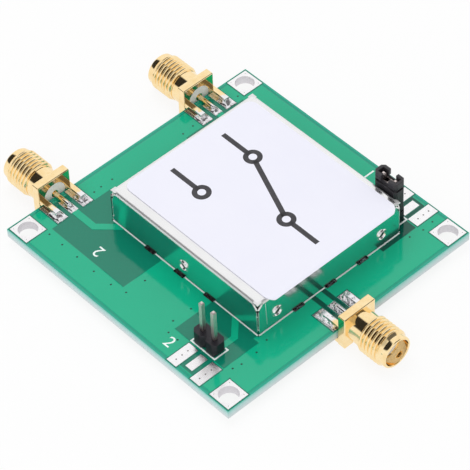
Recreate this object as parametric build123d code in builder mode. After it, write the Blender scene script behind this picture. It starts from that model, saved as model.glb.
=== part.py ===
from build123d import *
import os

# Radio-frequency switch module, in millimetres.
# A square circuit board carries three coaxial edge jacks, a two-piece shield can over the switching
# chip, and two control headers, one of which wears a jumper cap.
# The origin is the board's centre on its underside. X points at the input jack and Z points up.

# Circuit board
board_length = 50.0
board_width = 50.0
board_thickness = 1.6
copper_thickness = 0.05
hole_diameter = 3.2
corner_pad_ring = 0.4
corner_pad_edge = 0.3
plating_wall = 0.05
plating_clearance = 0.03

# Copper under the edge jacks, from near the board's edge to a run past the legs and the tail
output_corner_distance = 9.9
spare_corner_distance = 10.0
ground_pad_inset = 0.25
ground_pad_run = 1.1
ground_pad_width = 2.05
signal_pad_inset = 1.4
signal_pad_run = 1.2
signal_pad_width = 1.45

# Edge jack: turned barrel on a square flange with four legs
flange_gap = 0.2
flange_side = 6.3
flange_thickness = 1.5
flange_corner = 0.15
neck_diameter = 5.4
neck_length = 2.1
thread_diameter = 6.25
thread_length = 4.4
thread_chamfer = 0.3
collar_diameter = 5.5
collar_length = 1.3
lip_chamfer = 0.12
leg_side = 1.0
leg_inset = 0.1
leg_length = 3.8
mouth_wall = 0.45
mouth_depth = 1.9
insulator_diameter = 4.1
insulator_clearance = 0.02
contact_diameter = 1.27
contact_clearance = 0.02
socket_diameter = 0.94
socket_depth = 2.6
socket_slit = 0.15
socket_slit_depth = 1.6
tail_diameter = 0.8
tail_length = 3.5
tail_chamfer = 0.1
solder_width = 1.5
solder_rise = 0.7
solder_edge = 0.04
solder_margin = 0.1

# Shield can: a folded lid over a soldered fence, kept clear of the jack pads and of the headers
can_gap_input = 2.65
can_gap_output = 5.3
can_gap_front = 5.09
can_gap_back = 0.15
lid_height = 6.8
sheet = 0.2
bend_radius = 0.5
skirt_gap = 0.4
relief_slit = 0.28
relief_mouth = 1.75
relief_height = 1.95
relief_depth = 0.9
corner_tip_inset = 0.02
corner_tip_length = 0.95
corner_tip_root = 0.5
dimple_diameter = 1.9
dimple_depth = 0.28
dimple_height = 2.6
dimple_end_distance = 3.95
lid_clearance = 0.4
rim_width = 1.5
rim_corner = 2.0
fence_hole_play = 0.3
foot_width = 2.0
foot_left_distance = 8.65
foot_right_distance = 10.7
foot_back_distance = 8.07
foot_below_input = 3.92
foot_above_input = 2.73
foot_pad_width = 2.2
foot_pad_depth = 1.5
foot_pad_reach = 0.25
foot_solder_rise = 0.22

# Paper label on the lid
label_thickness = 0.1
label_glue = 0.02
label_front_margin = 1.9
label_back_margin = 1.1
label_left_margin = 0.75
label_corner = 1.5
label_droop_radius = 2.2
label_droop_angle = 35.0

# Control headers, inside the ground pads of the empty jack positions
header_shift = -1.13
header_gap_front = 0.61
header_gap_back = 0.2
pin_pitch = 2.54
pin_side = 0.64
pin_rise = 6.0
pin_tail = 0.9
pin_chamfer = 0.15
pin_play = 0.02
pin_hole_diameter = 1.0
base_width = 2.5
base_height = 2.54
base_chamfer = 0.6
base_step_depth = 0.35
base_step_height = 0.5
pin_pad_diameter = 1.8
pin_solder_tip = 1.0
pin_solder_height = 0.7

# Jumper cap
jumper_length = 4.85
jumper_width = 2.25
jumper_height = 6.3
jumper_seat = 0.1
jumper_wall = 0.55
jumper_chamfer = 0.5
lobe_height = 1.15
lobe_gap = 1.55
neck_groove_height = 0.5
neck_groove_depth = 0.3
spring_play = 0.08
spring_end_play = 0.05
spring_web = 0.3
spring_inset = 0.6
spring_drop = 1.4

# Switching chip and chip capacitors under the can, placed from the can's middle and from the chip
chip_shift = 0.7
chip_side = 3.0
chip_height = 0.9
chip_standoff = 0.1
lead_reach = 0.95
lead_pitch = 0.65
lead_width = 0.3
lead_thickness = 0.18
lead_shoulder = 0.25
lead_heel = 0.5
lead_pad_length = 0.9
lead_pad_width = 0.42
capacitor_length = 1.6
capacitor_width = 0.8
capacitor_height = 0.8
capacitor_end = 0.35
capacitor_pad_length = 0.8
capacitor_pad_width = 0.9
input_capacitor_reach = 7.0
output_capacitor_reach = 8.0
output_capacitor_y = 6.2
bypass_capacitor_reach = 5.0
bypass_capacitor_y = 5.2
signal_track_width = 1.2
control_track_width = 1.05
fine_track_width = 0.4
output_track_run = 1.0
output_track_entry = 4.8
control_track_shift = 1.48
control_track_bend = 2.4
control_track_slant = 3.4

# Levels and faces worked out from the sizes above
board_top = board_thickness
copper_top = board_top + copper_thickness
copper_bottom = -copper_thickness
corner_pad_side = hole_diameter + 2 * corner_pad_ring
hole_inset = corner_pad_edge + corner_pad_side / 2
jack_axis_height = copper_top + tail_diameter / 2
thread_start = flange_thickness + neck_length
thread_end = thread_start + thread_length
jack_length = thread_end + collar_length
jack_seat = jack_length - mouth_depth
mouth_diameter = collar_diameter - 2 * mouth_wall
leg_pitch = flange_side - leg_side - 2 * leg_inset
upper_leg = copper_top + leg_side / 2 - jack_axis_height
lower_leg = copper_bottom - leg_side / 2 - jack_axis_height
ground_pad_end = leg_length - flange_gap + ground_pad_run
signal_pad_end = tail_length - flange_gap + signal_pad_run
ground_pad_length = ground_pad_end - ground_pad_inset
signal_pad_length = signal_pad_end - signal_pad_inset
output_offset = board_width / 2 - output_corner_distance
spare_offset = board_length / 2 - spare_corner_distance
header_x = spare_offset + header_shift
header_back_y = board_width / 2 - ground_pad_end - header_gap_back - base_width / 2
header_front_y = header_gap_front + base_width / 2 + ground_pad_end - board_width / 2
can_right = board_length / 2 - ground_pad_end - can_gap_input
can_left = ground_pad_end + can_gap_output - board_length / 2
can_back = header_back_y - base_width / 2 - can_gap_back
can_front = header_front_y + base_width / 2 + can_gap_front
can_x = (can_left + can_right) / 2
can_y = (can_front + can_back) / 2
lid_length = can_right - can_left
lid_width = can_back - can_front
dimple_spread = lid_width - 2 * dimple_end_distance
skirt_bottom = board_top + skirt_gap
lid_top = board_top + lid_height
lid_underside = lid_top - sheet
fence_length = lid_length - 2 * (sheet + lid_clearance)
fence_width = lid_width - 2 * (sheet + lid_clearance)
header_top = board_top + base_height
pin_top = header_top + pin_rise
jumper_bottom = header_top + jumper_seat
jumper_top = jumper_bottom + jumper_height
cavity_length = jumper_length - 2 * jumper_wall
cavity_width = jumper_width - 2 * jumper_wall
chip_x = can_x + chip_shift
chip_bottom = board_top + chip_standoff
lead_span = chip_side + 2 * lead_reach
lead_pad_x = lead_span / 2 - lead_heel / 2
capacitor_reach = (capacitor_length - capacitor_end) / 2
input_capacitor_x = chip_x + input_capacitor_reach
output_capacitor_x = chip_x - output_capacitor_reach
bypass_capacitor_x = chip_x + bypass_capacitor_reach
output_track_bend_x = can_left - output_track_run
output_track_entry_x = can_left + output_track_entry
control_track_x = header_x + control_track_shift

can_centre = (can_x, can_y)
hole_pitch_x = board_length - 2 * hole_inset
hole_pitch_y = board_width - 2 * hole_inset
headers = {"control1": header_back_y, "control2": header_front_y}
jacks = {
    "input": (1, 0.0),
    "output1": (-1, output_offset),
    "output2": (-1, -output_offset),
}
input_edge = Location((board_length / 2, 0, 0))
output_edges = [Location((-board_length / 2, y, 0), (0, 0, 180)) for y in (output_offset, -output_offset)]
spare_edges = [
    Location((spare_offset, board_width / 2, 0), (0, 0, 90)),
    Location((spare_offset, -board_width / 2, 0), (0, 0, -90)),
]

os.makedirs("parts", exist_ok=True)


def save(piece, name):
    piece.part.label = name
    export_step(piece.part, f"parts/{name}.step")


# Circuit board with its mounting holes and the holes for the header pins
with BuildPart() as circuit_board:
    with BuildSketch():
        Rectangle(board_length, board_width)
        with GridLocations(hole_pitch_x, hole_pitch_y, 2, 2):
            Circle(hole_diameter / 2 + plating_wall + plating_clearance, mode=Mode.SUBTRACT)
        for header_y in headers.values():
            with Locations((header_x, header_y)):
                with GridLocations(pin_pitch, 0, 2, 1):
                    Circle(pin_hole_diameter / 2, mode=Mode.SUBTRACT)
    extrude(amount=board_thickness)
save(circuit_board, "circuit_board")

# Plated mounting holes: a square pad on each face, joined by the barrel through the hole
with BuildPart() as mounting_pads:
    with BuildSketch(Plane.XY.offset(copper_bottom)):
        with GridLocations(hole_pitch_x, hole_pitch_y, 2, 2):
            Circle(hole_diameter / 2 + plating_wall)
    extrude(amount=copper_top - copper_bottom)
    for pad_level in (board_top, copper_bottom):
        with BuildSketch(Plane.XY.offset(pad_level)):
            with GridLocations(hole_pitch_x, hole_pitch_y, 2, 2):
                Rectangle(corner_pad_side, corner_pad_side)
        extrude(amount=copper_thickness)
    with BuildSketch(Plane.XY.offset(copper_bottom)):
        with GridLocations(hole_pitch_x, hole_pitch_y, 2, 2):
            Circle(hole_diameter / 2)
    extrude(amount=copper_top - copper_bottom, mode=Mode.SUBTRACT)
save(mounting_pads, "mounting_pads")


# Pads of one or more jack footprints: ground on both faces, signal on the upper face only
def jack_pads(edges):
    ground_middle = -(ground_pad_inset + ground_pad_length / 2)
    signal_middle = -(signal_pad_inset + signal_pad_length / 2)
    with BuildPart() as pads:
        for pad_level in (board_top, copper_bottom):
            with BuildSketch(Plane.XY.offset(pad_level)):
                with Locations(*edges):
                    with Locations((ground_middle, 0)):
                        with GridLocations(0, leg_pitch, 1, 2):
                            Rectangle(ground_pad_length, ground_pad_width)
            extrude(amount=copper_thickness)
        with BuildSketch(Plane.XY.offset(board_top)):
            with Locations(*edges):
                with Locations((signal_middle, 0)):
                    Rectangle(signal_pad_length, signal_pad_width)
        extrude(amount=copper_thickness)
    return pads


save(jack_pads([input_edge, *output_edges]), "jack_pads")
save(jack_pads(spare_edges), "spare_jack_pads")


# One edge jack seen from its mouth: the plane's Z runs out of the board along the jack's axis
def jack_plane(side, offset_y):
    origin = (side * (board_length / 2 + flange_gap), offset_y, jack_axis_height)
    return Plane(origin=origin, x_dir=(0, side, 0), z_dir=(side, 0, 0))


# The half plane that a jack's turned profiles are drawn on: X along the axis, Y along the radius
def turning_plane(port):
    return Plane(origin=port.origin, x_dir=port.z_dir, z_dir=-port.x_dir)


for jack_name, (side, offset_y) in jacks.items():
    port = jack_plane(side, offset_y)
    turning = turning_plane(port)
    jack_axis = Axis(port.origin, port.z_dir)
    leg_levels = [(0, upper_leg), (0, lower_leg)]

    # Gold-plated body: flange, legs and turned barrel, bored for the insulator and the plug
    with BuildPart() as jack_body:
        with BuildSketch(port):
            RectangleRounded(flange_side, flange_side, flange_corner)
        extrude(amount=flange_thickness)
        with BuildSketch(port):
            with Locations(*leg_levels):
                with GridLocations(leg_pitch, 0, 2, 1):
                    Rectangle(leg_side, leg_side)
        extrude(amount=-leg_length)
        with BuildSketch(turning):
            with BuildLine():
                Polyline(
                    (0, 0),
                    (0, neck_diameter / 2),
                    (thread_start, neck_diameter / 2),
                    (thread_start, thread_diameter / 2 - thread_chamfer),
                    (thread_start + thread_chamfer, thread_diameter / 2),
                    (thread_end - thread_chamfer, thread_diameter / 2),
                    (thread_end, thread_diameter / 2 - thread_chamfer),
                    (thread_end, collar_diameter / 2),
                    (jack_length - lip_chamfer, collar_diameter / 2),
                    (jack_length, collar_diameter / 2 - lip_chamfer),
                    (jack_length, 0),
                    close=True,
                )
            make_face()
        revolve(axis=jack_axis)
        with BuildSketch(turning):
            with BuildLine():
                Polyline(
                    (0, 0),
                    (0, insulator_diameter / 2 + insulator_clearance),
                    (jack_seat, insulator_diameter / 2 + insulator_clearance),
                    (jack_seat, mouth_diameter / 2),
                    (jack_length - lip_chamfer, mouth_diameter / 2),
                    (jack_length, mouth_diameter / 2 + lip_chamfer),
                    (jack_length, 0),
                    close=True,
                )
            make_face()
        revolve(axis=jack_axis, mode=Mode.SUBTRACT)
    save(jack_body, f"{jack_name}_jack_body")

    # White insulator that fills the bore from the flange to the plug's seat
    with BuildPart() as jack_insulator:
        with BuildSketch(port):
            Circle(insulator_diameter / 2)
            Circle(contact_diameter / 2 + contact_clearance, mode=Mode.SUBTRACT)
        extrude(amount=jack_seat)
    save(jack_insulator, f"{jack_name}_jack_insulator")

    # Centre contact: slit socket towards the plug, plain tail on the board
    with BuildPart() as jack_contact:
        with BuildSketch(turning):
            with BuildLine():
                Polyline(
                    (-tail_length, 0),
                    (-tail_length, tail_diameter / 2 - tail_chamfer),
                    (tail_chamfer - tail_length, tail_diameter / 2),
                    (0, tail_diameter / 2),
                    (0, contact_diameter / 2),
                    (jack_seat, contact_diameter / 2),
                    (jack_seat, socket_diameter / 2),
                    (jack_seat - socket_depth, socket_diameter / 2),
                    (jack_seat - socket_depth - socket_diameter / 2, 0),
                    close=True,
                )
            make_face()
        revolve(axis=jack_axis)
        with BuildSketch(port.offset(jack_seat)):
            with PolarLocations(0, 2, angular_range=180):
                Rectangle(2 * contact_diameter, socket_slit)
        extrude(amount=-socket_slit_depth, mode=Mode.SUBTRACT)
    save(jack_contact, f"{jack_name}_jack_contact")

    # Solder that runs from the end of each leg, and of the tail, down to the end of its pad
    with BuildPart() as jack_solder:
        beads = [(0, copper_top, 1, tail_length, signal_pad_end, signal_pad_width - 2 * solder_margin)]
        for across in (-leg_pitch / 2, leg_pitch / 2):
            beads.append((across, copper_top, 1, leg_length, ground_pad_end, solder_width))
            beads.append((across, copper_bottom, -1, leg_length, ground_pad_end, solder_width))
        for across, level, up, start, pad_end, width in beads:
            near = port.offset(-start)
            far = port.offset(solder_margin - flange_gap - pad_end)
            foot = level - jack_axis_height
            with BuildSketch(near):
                with Locations((across, foot + up * solder_rise / 2)):
                    Rectangle(width, solder_rise)
            with BuildSketch(far):
                with Locations((across, foot + up * solder_edge / 2)):
                    Rectangle(width - 2 * solder_margin, solder_edge)
            loft()
    save(jack_solder, f"{jack_name}_jack_solder")


# Outward-facing planes of the four can walls, at the board's top: X along the wall, Y up, Z outward
def wall_plane(turn, length, width):
    along_x = turn in (0, 180)
    reach = (width if along_x else length) / 2
    outward = {0: (0, -1, 0), 90: (1, 0, 0), 180: (0, 1, 0), 270: (-1, 0, 0)}[turn]
    along = {0: (1, 0, 0), 90: (0, 1, 0), 180: (-1, 0, 0), 270: (0, -1, 0)}[turn]
    centre = Vector(can_x, can_y, board_top) + Vector(*outward) * reach
    return Plane(origin=centre, x_dir=along, z_dir=outward)


wall_turns = (0, 90, 180, 270)
wall_dimples = {
    0: [(0, dimple_height)],
    90: [(-dimple_spread / 2, dimple_height), (dimple_spread / 2, dimple_height)],
    180: [(0, dimple_height)],
    270: [(-dimple_spread / 2, dimple_height), (dimple_spread / 2, dimple_height)],
}
foot_left = foot_left_distance - lid_length / 2
foot_right = lid_length / 2 - foot_right_distance
feet_along_x = [foot_left, (foot_left + foot_right) / 2, foot_right]
feet_along_y = [-foot_below_input - can_y, foot_above_input - can_y, lid_width / 2 - foot_back_distance]
wall_feet = {
    0: feet_along_x,
    90: feet_along_y,
    180: [-x for x in feet_along_x],
    270: [-y for y in feet_along_y],
}

# Pads on the board for the feet of the fence
with BuildPart() as fence_pads:
    for turn in wall_turns:
        pad_plane = wall_plane(turn, lid_length, lid_width)
        with BuildSketch(pad_plane.offset(foot_pad_reach)):
            for along in wall_feet[turn]:
                with Locations((along, copper_thickness / 2)):
                    Rectangle(foot_pad_width, copper_thickness)
        extrude(amount=-foot_pad_depth)
save(fence_pads, "fence_pads")

# Fence: folded walls with a turned-in rim, feet on the pads and round holes for the lid's dimples
with BuildPart() as shield_fence:
    with BuildSketch(Plane.XY.offset(skirt_bottom)):
        with Locations(can_centre):
            Rectangle(fence_length, fence_width)
    extrude(amount=lid_underside - skirt_bottom)
    fillet(shield_fence.faces().sort_by(Axis.Z)[-1].edges(), bend_radius - sheet)
    offset(amount=-sheet, openings=shield_fence.faces().sort_by(Axis.Z)[0])
    with BuildSketch(Plane.XY.offset(lid_underside)):
        with Locations(can_centre):
            RectangleRounded(fence_length - 2 * rim_width, fence_width - 2 * rim_width, rim_corner)
    extrude(amount=-sheet, mode=Mode.SUBTRACT)
    for turn in wall_turns:
        wall = wall_plane(turn, fence_length, fence_width)
        with BuildSketch(wall):
            for along in wall_feet[turn]:
                with Locations((along, (copper_thickness + skirt_gap) / 2)):
                    Rectangle(foot_width, skirt_gap - copper_thickness)
        extrude(amount=-sheet)
        with BuildSketch(wall):
            with Locations(*wall_dimples[turn]):
                Circle((dimple_diameter + fence_hole_play) / 2)
        extrude(amount=-sheet, mode=Mode.SUBTRACT)
save(shield_fence, "shield_fence")

# Solder that holds each foot of the fence to its pad
with BuildPart() as fence_solder:
    for turn in wall_turns:
        wall = wall_plane(turn, fence_length, fence_width)
        solder_run = sheet + lid_clearance + foot_pad_reach - solder_margin
        for along in wall_feet[turn]:
            with BuildSketch(wall):
                with Locations((along, copper_thickness + foot_solder_rise / 2)):
                    Rectangle(foot_width, foot_solder_rise)
            with BuildSketch(wall.offset(solder_run)):
                with Locations((along, copper_thickness + solder_edge / 2)):
                    Rectangle(foot_width, solder_edge)
            loft()
save(fence_solder, "fence_solder")

# Lid folded from sheet: rounded bends, a relief and a slit at each corner below the flat tip of the
# top, dimples pressed inward
with BuildPart() as shield_lid:
    with BuildSketch(Plane.XY.offset(skirt_bottom)):
        with Locations(can_centre):
            Rectangle(lid_length, lid_width)
    extrude(amount=lid_top - skirt_bottom)
    fillet(shield_lid.faces().sort_by(Axis.Z)[-1].edges(), bend_radius)
    offset(amount=-sheet, openings=shield_lid.faces().sort_by(Axis.Z)[0])
    for x_side in (-1, 1):
        for y_side in (-1, 1):
            corner = (can_x + x_side * lid_length / 2, can_y + y_side * lid_width / 2, skirt_bottom)
            relief = Plane(origin=corner, x_dir=(y_side, -x_side, 0), z_dir=(-x_side, -y_side, 0))
            slit_top = lid_top - skirt_bottom - relief_height
            relief_top = lid_top - skirt_bottom
            with BuildSketch(relief):
                with BuildLine():
                    Polyline(
                        (-relief_slit / 2, 0),
                        (-relief_slit / 2, slit_top),
                        (-relief_mouth / 2, relief_top),
                        (relief_mouth / 2, relief_top),
                        (relief_slit / 2, slit_top),
                        (relief_slit / 2, 0),
                        close=True,
                    )
                make_face()
            extrude(amount=relief_depth, mode=Mode.SUBTRACT)
            tip_root = corner_tip_inset + corner_tip_length + corner_tip_root
            tip_side = corner_tip_inset + corner_tip_length
            tip_corners = [
                (corner_tip_inset, corner_tip_inset),
                (tip_side, corner_tip_inset),
                (tip_root, tip_root),
                (corner_tip_inset, tip_side),
            ]
            tip_points = [(corner[0] - x_side * x, corner[1] - y_side * y) for x, y in tip_corners]
            with BuildSketch(Plane.XY.offset(lid_underside)):
                with BuildLine():
                    Polyline(*tip_points, close=True)
                make_face()
            extrude(amount=sheet)
    for turn in wall_turns:
        outer_wall = wall_plane(turn, lid_length, lid_width)
        with BuildSketch(outer_wall.offset(-sheet)):
            with Locations(*wall_dimples[turn]):
                Circle(dimple_diameter / 2)
        extrude(amount=-dimple_depth, taper=45)
        with BuildSketch(outer_wall):
            with Locations(*wall_dimples[turn]):
                Circle(dimple_diameter / 2)
        extrude(amount=-dimple_depth, taper=45, mode=Mode.SUBTRACT)
save(shield_lid, "shield_lid")

# Label glued to the lid, whose edge stands out over the bend at the input side and droops a little
with BuildPart() as lid_label:
    label_base = lid_top + label_glue
    label_y0 = can_y - lid_width / 2 + label_front_margin
    label_y1 = can_y + lid_width / 2 - label_back_margin
    label_x0 = can_x - lid_length / 2 + label_left_margin
    bend_x = can_x + lid_length / 2 - bend_radius
    droop_z = label_base - label_droop_radius
    outer_radius = label_droop_radius + label_thickness
    with BuildSketch(Plane.XZ.offset(-label_y0)):
        with BuildLine():
            upper = Line((label_x0, label_base + label_thickness), (bend_x, label_base + label_thickness))
            outer_droop = CenterArc((bend_x, droop_z), outer_radius, 90, -label_droop_angle)
            inner_droop = CenterArc((bend_x, droop_z), label_droop_radius, 90, -label_droop_angle)
            Line(outer_droop @ 1, inner_droop @ 1)
            lower = Line((label_x0, label_base), (bend_x, label_base))
            Line(upper @ 0, lower @ 0)
        make_face()
    extrude(amount=-(label_y1 - label_y0))
    label_x1 = (outer_droop @ 1).X
    with BuildSketch(Plane.XY.offset(droop_z)):
        with Locations(((label_x0 + label_x1) / 2, (label_y0 + label_y1) / 2)):
            RectangleRounded(label_x1 - label_x0, label_y1 - label_y0, label_corner)
    extrude(amount=outer_radius, mode=Mode.INTERSECT)
save(lid_label, "lid_label")

# One unit of a header's plastic base, seen from above
with BuildSketch() as base_unit:
    Rectangle(pin_pitch, base_width)
    chamfer(base_unit.vertices(), base_chamfer)

for header_name, header_y in headers.items():
    header_spot = (header_x, header_y)

    # Plastic base: two units side by side, stepped at the foot of each end
    with BuildPart() as header_base:
        with BuildSketch(Plane.XY.offset(board_top)):
            with Locations(header_spot):
                with GridLocations(pin_pitch, 0, 2, 1):
                    add(base_unit.sketch)
                    Rectangle(pin_side + 2 * pin_play, pin_side + 2 * pin_play, mode=Mode.SUBTRACT)
        extrude(amount=base_height)
        with BuildSketch(Plane.XY.offset(board_top)):
            with Locations(header_spot):
                with GridLocations(2 * pin_pitch - base_step_depth, 0, 2, 1):
                    Rectangle(base_step_depth, base_width)
        extrude(amount=base_step_height, mode=Mode.SUBTRACT)
    save(header_base, f"{header_name}_header_base")

    # Square pins with chamfered ends
    with BuildPart() as header_pins:
        with BuildSketch(Plane.XY.offset(-pin_tail)):
            with Locations(header_spot):
                with GridLocations(pin_pitch, 0, 2, 1):
                    Rectangle(pin_side, pin_side)
        extrude(amount=pin_top + pin_tail)
        pin_ends = header_pins.faces().filter_by(Axis.Z)
        chamfer(pin_ends.edges(), pin_chamfer)
    save(header_pins, f"{header_name}_header_pins")

    # Pads on the underside
    with BuildPart() as header_pads:
        with BuildSketch(Plane.XY.offset(copper_bottom)):
            with Locations(header_spot):
                with GridLocations(pin_pitch, 0, 2, 1):
                    Circle(pin_pad_diameter / 2)
                    Circle(pin_hole_diameter / 2, mode=Mode.SUBTRACT)
        extrude(amount=copper_thickness)
    save(header_pads, f"{header_name}_header_pads")

    # Solder cones round the pin tails
    with BuildPart() as header_solder:
        with BuildSketch(Plane.XY.offset(copper_bottom)):
            with Locations(header_spot):
                with GridLocations(pin_pitch, 0, 2, 1):
                    Circle(pin_pad_diameter / 2 - solder_margin)
        solder_taper = (pin_pad_diameter - pin_solder_tip) / 2 - solder_margin
        extrude(amount=-pin_solder_height)
        solder_rims = header_solder.faces().sort_by(Axis.Z)[:2].edges()
        chamfer(solder_rims, pin_solder_height - solder_edge, solder_taper)
        with BuildSketch(Plane.XY.offset(copper_bottom)):
            with Locations(header_spot):
                with GridLocations(pin_pitch, 0, 2, 1):
                    Rectangle(pin_side, pin_side)
        extrude(amount=-pin_solder_height, mode=Mode.SUBTRACT)
    save(header_solder, f"{header_name}_header_solder")

# Jumper cap: open-topped housing with two facing lobes above a finger groove
jumper_spot = (header_x, header_back_y)
with BuildPart() as jumper_housing:
    with BuildSketch(Plane.XY.offset(jumper_bottom)) as jumper_outline:
        with Locations(jumper_spot):
            Rectangle(jumper_length, jumper_width)
        chamfer(jumper_outline.vertices(), jumper_chamfer)
    extrude(amount=jumper_height)
    with BuildSketch(Plane.XY.offset(jumper_bottom)):
        with Locations(jumper_spot):
            Rectangle(cavity_length, cavity_width)
    extrude(amount=jumper_height, mode=Mode.SUBTRACT)
    with BuildSketch(Plane.XY.offset(jumper_top)):
        with Locations(jumper_spot):
            Rectangle(lobe_gap, jumper_width)
    extrude(amount=-lobe_height, mode=Mode.SUBTRACT)
    with BuildSketch(Plane.XY.offset(jumper_top - lobe_height)):
        with Locations(jumper_spot):
            Rectangle(jumper_length, jumper_width)
            Rectangle(
                jumper_length - 2 * neck_groove_depth,
                jumper_width - 2 * neck_groove_depth,
                mode=Mode.SUBTRACT,
            )
    extrude(amount=-neck_groove_height, mode=Mode.SUBTRACT)
save(jumper_housing, "jumper_housing")

# Jumper spring: two strips along the cavity's long walls, bridged between the pins
with BuildPart() as jumper_spring:
    strip_thickness = cavity_width / 2 - pin_side / 2 - spring_play
    with BuildSketch(Plane.XY.offset(jumper_bottom + spring_inset)):
        with Locations(jumper_spot):
            with GridLocations(0, cavity_width - strip_thickness, 1, 2):
                Rectangle(cavity_length - 2 * spring_end_play, strip_thickness)
            Rectangle(spring_web, cavity_width)
    extrude(amount=jumper_height - spring_inset - spring_drop)
save(jumper_spring, "jumper_spring")

# Switching chip: moulded package on two rows of gull-wing leads
with BuildPart() as chip_package:
    with BuildSketch(Plane.XY.offset(chip_bottom)):
        with Locations((chip_x, 0)):
            Rectangle(chip_side, chip_side)
    extrude(amount=chip_height)
save(chip_package, "switch_chip_package")

with BuildPart() as chip_leads:
    lead_exit = chip_bottom + chip_height / 2
    lead_sole = copper_top + lead_thickness / 2
    for row_side in (-1, 1):
        for lead_step in (-1.5, -0.5, 0.5, 1.5):
            with BuildSketch(Plane.XZ.offset(-lead_step * lead_pitch)):
                with BuildLine():
                    Polyline(
                        (chip_x + row_side * chip_side / 2, lead_exit),
                        (chip_x + row_side * (chip_side / 2 + lead_shoulder), lead_exit),
                        (chip_x + row_side * (lead_span / 2 - lead_heel), lead_sole),
                        (chip_x + row_side * lead_span / 2, lead_sole),
                    )
                trace(line_width=lead_thickness)
            extrude(amount=lead_width / 2, both=True)
save(chip_leads, "switch_chip_leads")

# Chip capacitors lie along X: three that block direct current, two that steady the control lines
blocking_spots = [
    (input_capacitor_x, 0),
    (output_capacitor_x, output_capacitor_y),
    (output_capacitor_x, -output_capacitor_y),
]
bypass_spots = [(bypass_capacitor_x, bypass_capacitor_y), (bypass_capacitor_x, -bypass_capacitor_y)]


# Ceramic bodies and metal ends of the capacitors at the given spots
def capacitor_set(spots, name):
    body_length = capacitor_length - 2 * capacitor_end
    with BuildPart() as ceramics:
        with BuildSketch(Plane.XY.offset(copper_top)):
            with Locations(*spots):
                Rectangle(body_length, capacitor_width)
        extrude(amount=capacitor_height)
    save(ceramics, f"{name}_capacitor_bodies")
    with BuildPart() as ends:
        with BuildSketch(Plane.XY.offset(copper_top)):
            with Locations(*spots):
                with GridLocations(2 * capacitor_reach, 0, 2, 1):
                    Rectangle(capacitor_end, capacitor_width)
        extrude(amount=capacitor_height)
    save(ends, f"{name}_capacitor_ends")


capacitor_set(blocking_spots, "blocking")
capacitor_set(bypass_spots, "bypass")

# Copper tracks with the pads of the chip and the capacitors
with BuildPart() as signal_tracks:
    input_pad_x = board_length / 2 - signal_pad_end
    output_pad_x = -input_pad_x
    lead_rows = [chip_x - lead_pad_x, chip_x + lead_pad_x]
    outer_lead = 1.5 * lead_pitch
    front_slope_y = -output_offset + (output_track_entry_x - output_track_bend_x)
    with BuildSketch(Plane.XY.offset(board_top)):
        with Locations(*blocking_spots, *bypass_spots):
            with GridLocations(2 * capacitor_reach, 0, 2, 1):
                Rectangle(capacitor_pad_length, capacitor_pad_width)
        with Locations(*[(x, 0) for x in lead_rows]):
            with GridLocations(0, lead_pitch, 1, 4):
                Rectangle(lead_pad_length, lead_pad_width)
        with BuildLine():
            Line((input_pad_x, 0), (input_capacitor_x + capacitor_reach, 0))
        trace(line_width=signal_track_width)
        with BuildLine():
            Polyline(
                (output_pad_x, output_offset),
                (output_track_bend_x, output_offset),
                (output_capacitor_x - capacitor_reach, output_capacitor_y),
            )
        trace(line_width=signal_track_width)
        with BuildLine():
            Polyline(
                (output_pad_x, -output_offset),
                (output_track_bend_x, -output_offset),
                (output_track_entry_x, front_slope_y),
                (output_capacitor_x - capacitor_reach, -output_capacitor_y),
            )
        trace(line_width=signal_track_width)
        with BuildLine():
            Line((input_capacitor_x - capacitor_reach, 0), (lead_rows[1], lead_pitch / 2))
        trace(line_width=fine_track_width)
        for y_side in (-1, 1):
            output_end = (output_capacitor_x + capacitor_reach, y_side * output_capacitor_y)
            bypass_end = (bypass_capacitor_x - capacitor_reach, y_side * bypass_capacitor_y)
            for track_end, lead_x in ((output_end, lead_rows[0]), (bypass_end, lead_rows[1])):
                with BuildLine():
                    Line(track_end, (lead_x, y_side * outer_lead))
                trace(line_width=fine_track_width)
        for header_y, inward in ((header_front_y, 1), (header_back_y, -1)):
            start_y = header_y + inward * base_width / 2
            bend_y = start_y + inward * control_track_bend
            with BuildLine():
                Polyline(
                    (control_track_x, start_y),
                    (control_track_x, bend_y),
                    (control_track_x - control_track_slant, bend_y + inward * control_track_slant),
                    (bypass_capacitor_x + capacitor_reach, -inward * bypass_capacitor_y),
                )
            trace(line_width=control_track_width)
    extrude(amount=copper_thickness)
save(signal_tracks, "signal_tracks")
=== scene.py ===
import math

import bmesh
import bpy
from mathutils import Matrix, Vector, noise


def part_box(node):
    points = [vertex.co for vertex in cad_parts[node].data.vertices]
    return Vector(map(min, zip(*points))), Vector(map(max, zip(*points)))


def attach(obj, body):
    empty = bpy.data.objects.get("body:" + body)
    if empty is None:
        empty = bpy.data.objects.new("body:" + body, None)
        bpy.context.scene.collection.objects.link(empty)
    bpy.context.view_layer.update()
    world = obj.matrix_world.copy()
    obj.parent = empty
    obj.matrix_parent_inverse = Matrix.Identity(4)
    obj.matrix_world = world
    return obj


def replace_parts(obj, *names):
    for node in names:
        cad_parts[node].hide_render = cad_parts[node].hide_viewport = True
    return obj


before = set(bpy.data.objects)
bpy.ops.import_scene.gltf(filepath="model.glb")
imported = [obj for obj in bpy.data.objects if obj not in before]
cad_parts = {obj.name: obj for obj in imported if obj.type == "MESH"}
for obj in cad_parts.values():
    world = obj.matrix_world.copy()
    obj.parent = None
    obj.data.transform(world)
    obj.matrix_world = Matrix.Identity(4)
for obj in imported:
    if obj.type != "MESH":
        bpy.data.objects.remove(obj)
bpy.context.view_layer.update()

scene = bpy.context.scene
mm = 0.001
weld = 0.001  # points closer than this, in millimetres, are one
origin = (0, 0, 0)
upward = Vector((0, 0, 1))
quarters = [(x, y) for x in (-1, 1) for y in (-1, 1)]
print("frame loaded with", len(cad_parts), "CAD nodes")


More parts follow.
